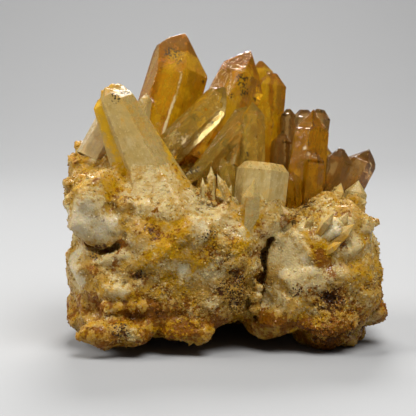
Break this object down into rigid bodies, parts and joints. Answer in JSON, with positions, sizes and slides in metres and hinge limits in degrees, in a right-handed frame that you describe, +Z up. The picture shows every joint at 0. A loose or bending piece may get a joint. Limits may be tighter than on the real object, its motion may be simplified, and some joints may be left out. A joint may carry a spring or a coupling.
{
  "type": "golden healer quartz cluster",
  "caption": "Hand-sized cluster of iron-stained golden quartz points fanning out of a rough milky quartz block that stands on flat pads.",
  "frame": {"origin": "middle of the cluster's footprint on the surface that it rests on", "axes": "+Z up, +X along the block's long front to the right, +Y from that front to the back"},
  "size_m": [0.1286, 0.0986, 0.1213],
  "materials": {
    "milky_matrix": "rough, granular, iron-stained",
    "milky_point": "cloudy, waxy",
    "clear_point": "glassy, frosted",
    "golden_point": "glassy, with clouded patches",
    "smoky_point": "glassy",
    "brown_point": "glassy"
  },
  "bodies": {
    "root": {"milky_quartz_base": "milky_matrix", "leaning_milky_crystal": "milky_point", "milky_block_crystal": "milky_point", "left_clear_crystal": "clear_point", "tall_golden_crystal": "golden_point", "broad_golden_crystals": "golden_point", "right_golden_crystals": "golden_point", "back_left_crystal": "golden_point", "back_tall_crystal": "golden_point", "back_middle_crystal": "golden_point", "back_right_crystal": "golden_point", "smoky_front_crystal": "smoky_point", "smoky_crystals": "smoky_point", "brown_crystals": "brown_point", "right_smoky_crystals": "brown_point"}
  },
  "joints": []
}
